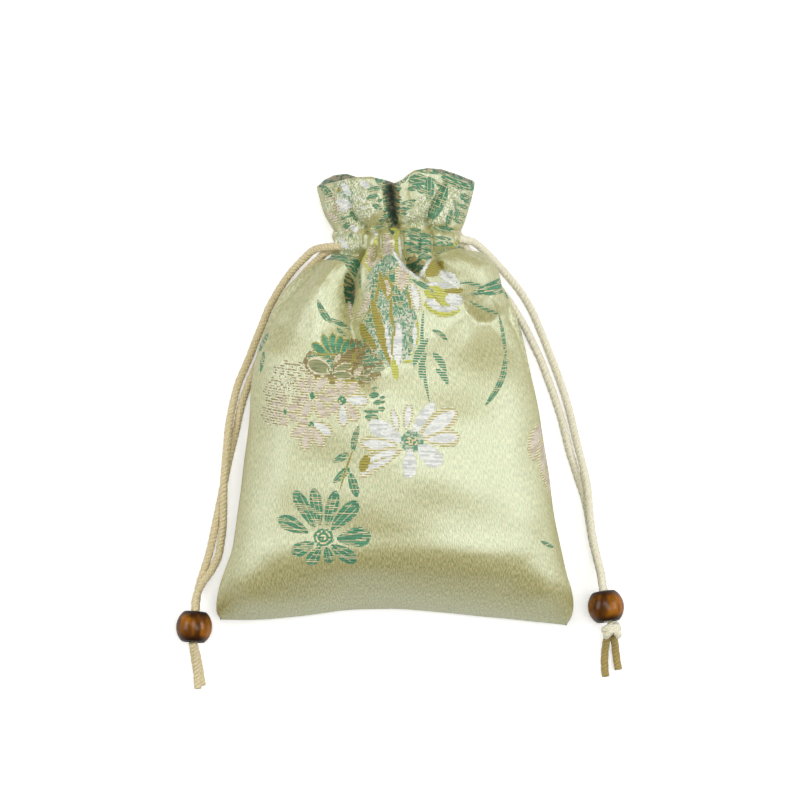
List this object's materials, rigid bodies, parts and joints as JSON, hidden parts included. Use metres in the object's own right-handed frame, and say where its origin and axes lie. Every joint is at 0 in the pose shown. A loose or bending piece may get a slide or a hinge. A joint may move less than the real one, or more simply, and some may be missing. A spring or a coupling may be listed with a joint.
{
  "type": "drawstring pouch",
  "caption": "Soft cloth pouch with a gathered casing and ruffled header, drawn shut by a cord at each side, each ending in a sliding wooden bead and a knot.",
  "frame": {"origin": "centre of the pouch body's bounding box, on the floor under its back", "axes": "+Y towards the mouth, +X towards the pouch's right side as seen from its front, +Z out of the front, the back lying on Z = 0"},
  "size_m": [0.1389, 0.1614, 0.0286],
  "materials": {
    "brocade_cloth": "satin brocade, pale green with a woven flower pattern",
    "satin_cord_left": "satin twisted cord, straw",
    "satin_cord_right": "satin twisted cord, cream",
    "stained_wood": "glossy stained brown"
  },
  "bodies": {
    "pouch": {"pouch_shell": "brocade_cloth", "drawstring_left": "satin_cord_left", "drawstring_right": "satin_cord_right", "knot_left": "satin_cord_left", "knot_right": "satin_cord_right"},
    "bead_left": {"bead_left": "stained_wood"},
    "bead_right": {"bead_right": "stained_wood"}
  },
  "joints": [
    {"name": "bead_left_slide", "type": "slide", "parent": "pouch", "child": "bead_left", "axis": [0.0687, 0.9824, -0.1736], "range_m": [0, 0.006]},
    {"name": "bead_right_slide", "type": "slide", "parent": "pouch", "child": "bead_right", "axis": [-0.1371, 0.9752, -0.1736], "range_m": [0, 0.006]}
  ]
}
